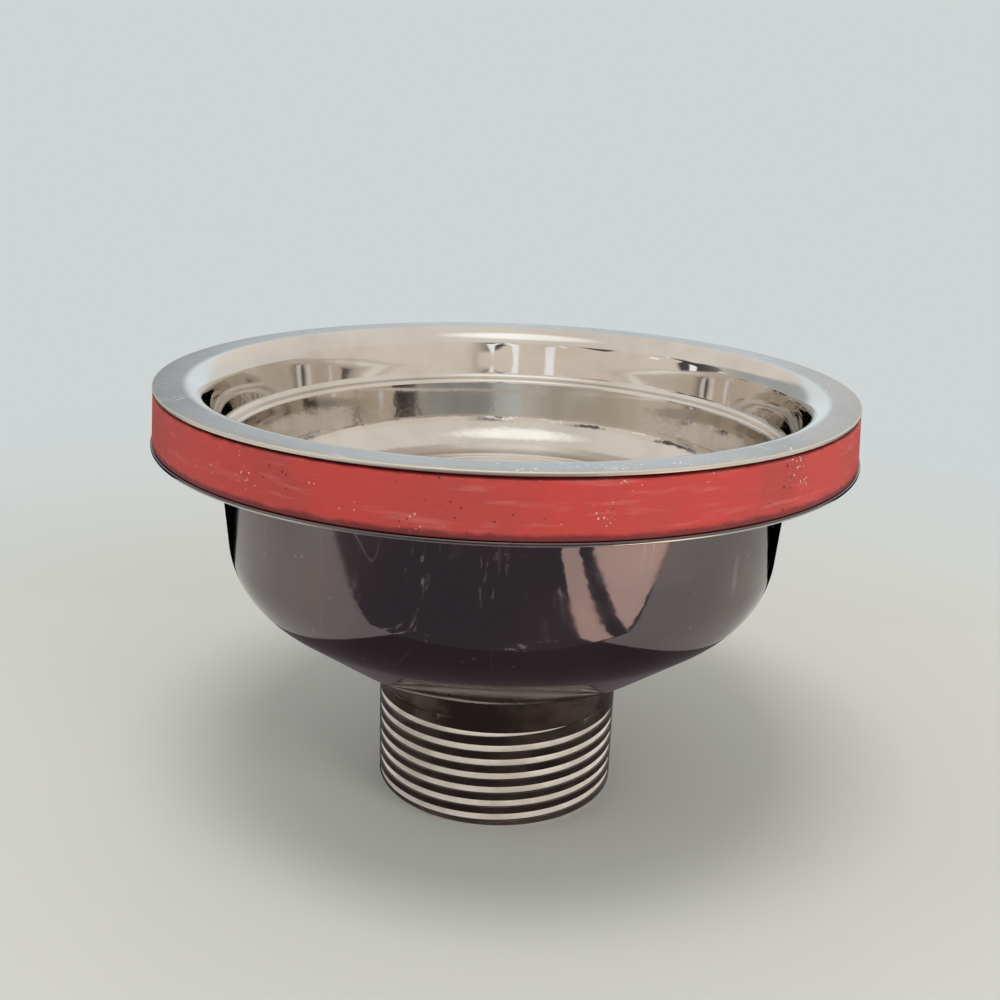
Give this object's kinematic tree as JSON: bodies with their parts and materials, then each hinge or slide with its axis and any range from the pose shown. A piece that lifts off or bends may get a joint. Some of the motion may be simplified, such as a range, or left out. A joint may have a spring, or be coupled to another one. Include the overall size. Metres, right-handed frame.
{
  "type": "sink waste coupling",
  "caption": "Round flanged sink waste: pressed strainer dish in a deep drawn cup, red rubber washer between the flanges, threaded tail below and a centre screw.",
  "frame": {"origin": "centre of the threaded tail's lower end, on which the part stands", "axes": "+Z along the coupling's axis, from the tail up to the flange; +X along the hidden bridge strip"},
  "size_m": [0.1156, 0.1156, 0.0726],
  "materials": {
    "dish_steel": "bright pressed stainless steel, satin flange with fine scratches",
    "red_rubber": "matte moulded rubber with fine dust and specks",
    "cup_steel": "bright drawn stainless steel seen dark, with faint haze",
    "tail_steel": "turned stainless steel thread",
    "plain_steel": "satin stainless steel"
  },
  "bodies": {
    "root": {"strainer_dish": "dish_steel", "rubber_washer": "red_rubber", "cup": "cup_steel", "threaded_tail": "tail_steel", "bridge": "plain_steel", "bridge_nut": "plain_steel", "centre_screw": "plain_steel"}
  },
  "joints": []
}
